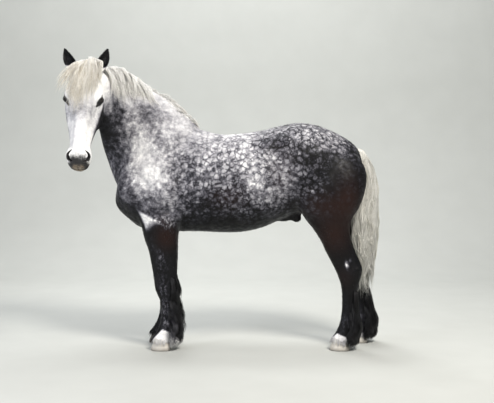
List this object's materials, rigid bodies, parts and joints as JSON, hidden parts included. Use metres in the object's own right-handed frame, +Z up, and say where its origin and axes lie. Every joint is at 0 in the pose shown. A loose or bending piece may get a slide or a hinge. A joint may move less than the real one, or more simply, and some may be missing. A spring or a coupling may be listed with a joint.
{
  "type": "draft horse",
  "caption": "Life-size still model of a dapple grey draft stallion standing square, head turned to its left, with full mane, forelock, tail and feathered lower legs.",
  "frame": {"origin": "middle of the whole model's bounding box in plan, at the level of the soles", "axes": "+Z up, the horse faces -X and its left side faces -Y"},
  "size_m": [2.3034, 1.02, 2.1585],
  "materials": {
    "coat_light": "short near-white horse coat",
    "coat_dapple": "short dapple grey horse coat",
    "coat_dark": "short black horse coat with a soft shine",
    "hair_pale": "long wavy cream horsehair",
    "hoof": "pale horn",
    "eye": "wet and dark"
  },
  "bodies": {
    "root": {"ear_left": "coat_dark", "ear_right": "coat_dark", "eye_left": "eye", "eye_right": "eye", "foreleg_left_lower": "coat_dark", "foreleg_left_upper": "coat_dark", "foreleg_right_lower": "coat_dark", "foreleg_right_upper": "coat_dark", "head": "coat_light", "hindleg_left_lower": "coat_dark", "hindleg_left_upper": "coat_dark", "hindleg_right_lower": "coat_dark", "hindleg_right_upper": "coat_dark", "hoof_fore_left": "hoof", "hoof_fore_right": "hoof", "hoof_hind_left": "hoof", "hoof_hind_right": "hoof", "neck": "coat_light", "tail": "hair_pale", "torso": "coat_dapple"}
  },
  "joints": []
}
